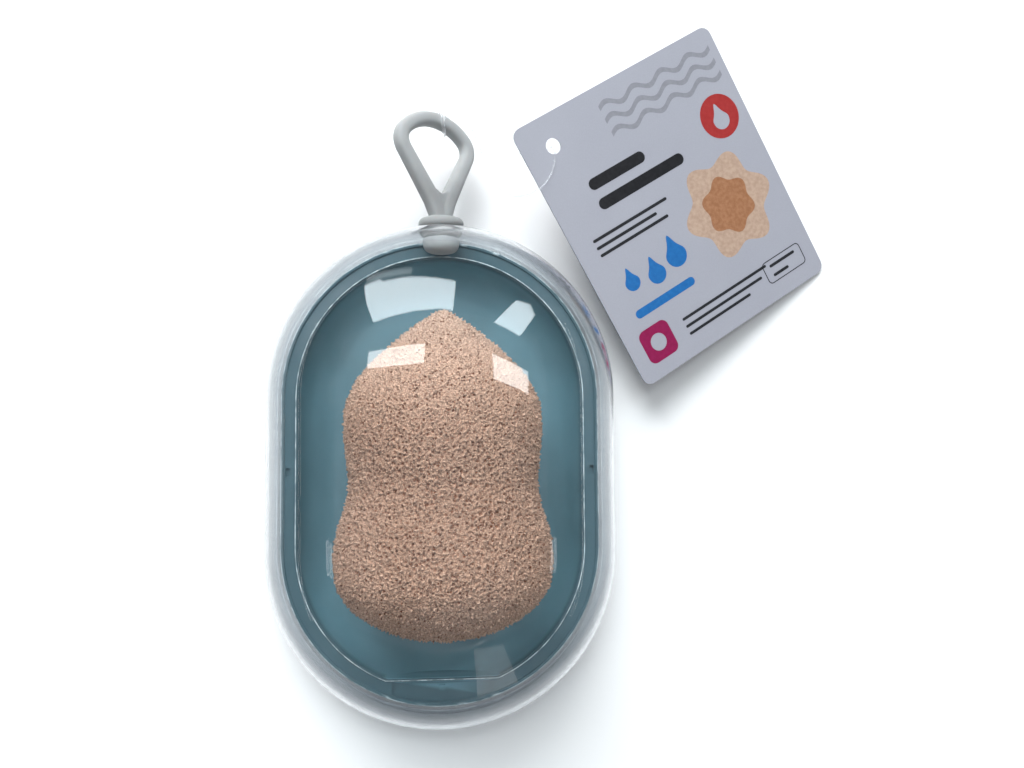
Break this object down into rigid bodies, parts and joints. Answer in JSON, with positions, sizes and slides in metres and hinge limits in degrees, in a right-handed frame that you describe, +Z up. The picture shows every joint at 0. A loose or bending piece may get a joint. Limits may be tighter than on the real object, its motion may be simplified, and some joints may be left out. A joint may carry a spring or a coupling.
{
  "type": "facial cleansing puff",
  "caption": "Pear-shaped foam face puff in an oval travel case with a clear domed lid, a soft hanging strap through its end wall and a card tag on a nylon loop.",
  "frame": {"origin": "centre of the tray's flat foot, on the surface that the case stands on", "axes": "+Z up, +Y along the case towards the strap, +X across the case towards the card tag"},
  "size_m": [0.1653, 0.1971, 0.05],
  "materials": {
    "tray_plastic": "moulded grey-blue polypropylene, satin gloss",
    "clear_plastic": "clear moulded plastic with a high gloss",
    "strap_elastomer": "soft grey elastomer, satin",
    "puff_foam": "open-celled peach-brown foam, matte",
    "tag_print": "coated card printed in lilac grey, black and coral",
    "nylon": "clear nylon"
  },
  "bodies": {
    "base": {"case_base": "tray_plastic"},
    "lid": {"case_lid": "clear_plastic"},
    "puff": {"cleansing_puff": "puff_foam"},
    "strap": {"hang_strap": "strap_elastomer"},
    "loop": {"tag_loop": "nylon", "loop_lock": "nylon"},
    "tag": {"tag_card": "tag_print"}
  },
  "joints": [
    {"name": "lid_lift", "type": "slide", "parent": "base", "child": "lid", "axis": [0, 0, 1], "range_m": [0, 0.09]},
    {"name": "puff_lift", "type": "slide", "parent": "base", "child": "puff", "axis": [0, 0, 1], "range_m": [0, 0.045]},
    {"name": "strap_turn", "type": "hinge", "parent": "lid", "child": "strap", "pos_m": [0, 0.0673, 0.0186], "axis": [0, -1, 0], "range_deg": [0, 180]},
    {"name": "loop_swing", "type": "hinge", "parent": "strap", "child": "loop", "pos_m": [0.00093, 0.0997, 0.01369], "axis": [-0.8049, 0.266, 0.5304], "range_deg": [0, 90]},
    {"name": "tag_turn", "type": "hinge", "parent": "loop", "child": "tag", "pos_m": [0.03132, 0.09077, 0.02381], "axis": [0.2312, -0.0816, 0.9695], "range_deg": [0, 90]}
  ],
  "couplings": [
    {"joint": "puff_lift", "follows": "lid_lift", "ratio": 0.5}
  ]
}
